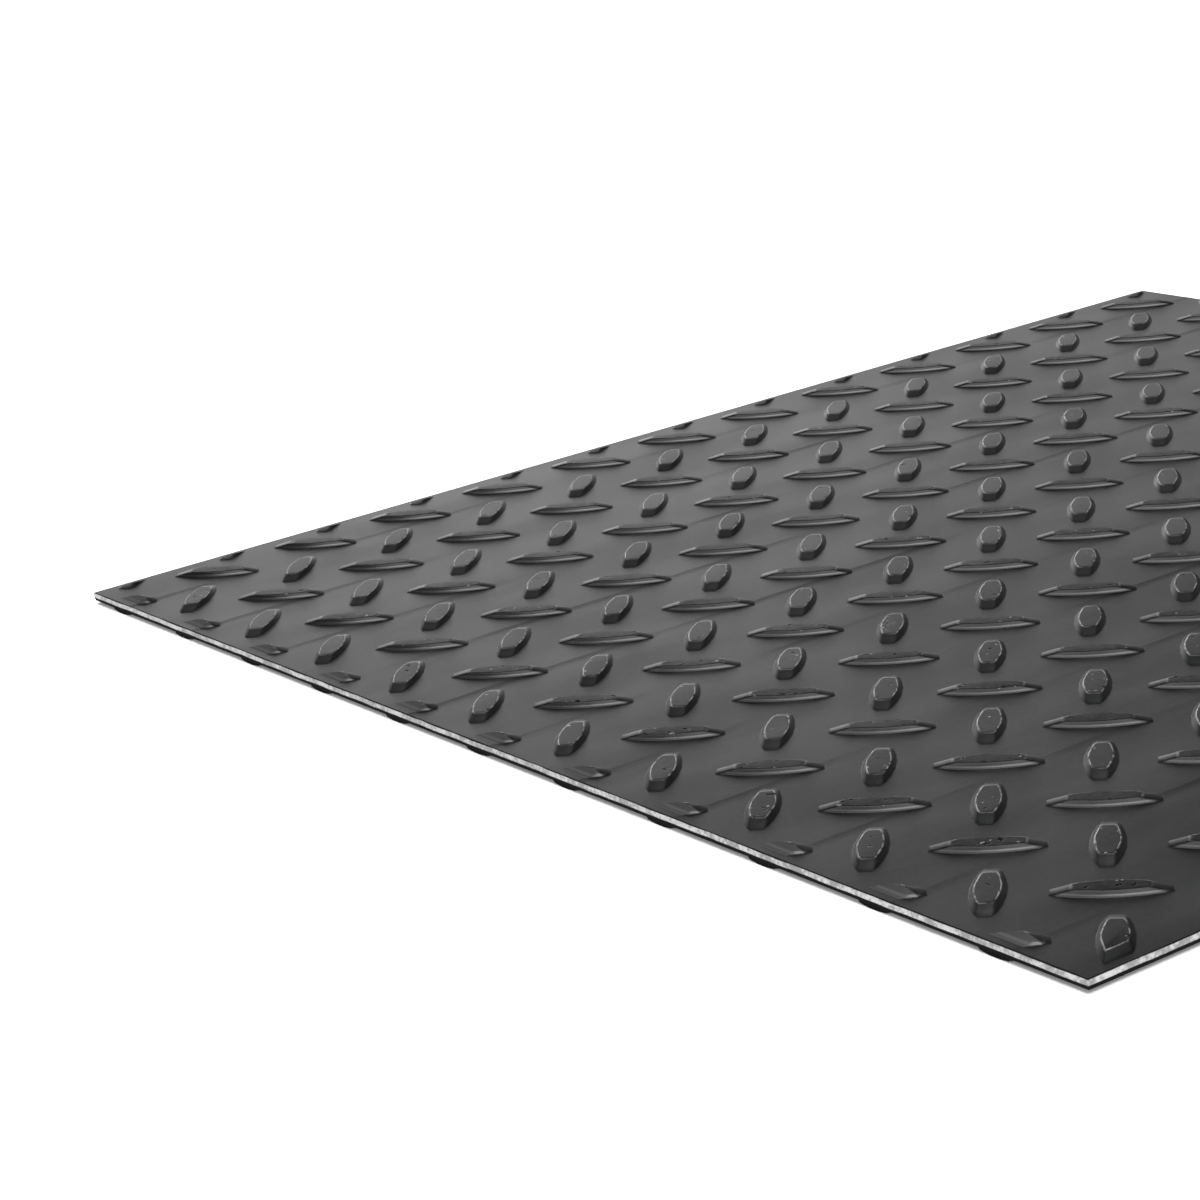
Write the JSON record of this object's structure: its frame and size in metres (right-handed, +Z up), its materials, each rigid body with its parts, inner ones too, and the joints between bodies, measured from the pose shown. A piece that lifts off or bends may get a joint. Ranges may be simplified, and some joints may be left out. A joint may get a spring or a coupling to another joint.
{
  "type": "checker steel plate",
  "caption": "Flat square of hot-rolled steel checker plate with a raised lens-shaped lug pattern on its upper face, plain underside and sheared edges.",
  "frame": {"origin": "centre of the plate's outline, at the floor that it lies on", "axes": "+X along the rolling direction, +Y across it, +Z up out of the patterned face"},
  "size_m": [0.5, 0.5, 0.0056],
  "materials": {
    "hot_rolled_steel": "hot-rolled mill scale, satin, darker in places, with lug rims rubbed bright"
  },
  "bodies": {
    "root": {"checker_plate": "hot_rolled_steel"}
  },
  "joints": []
}
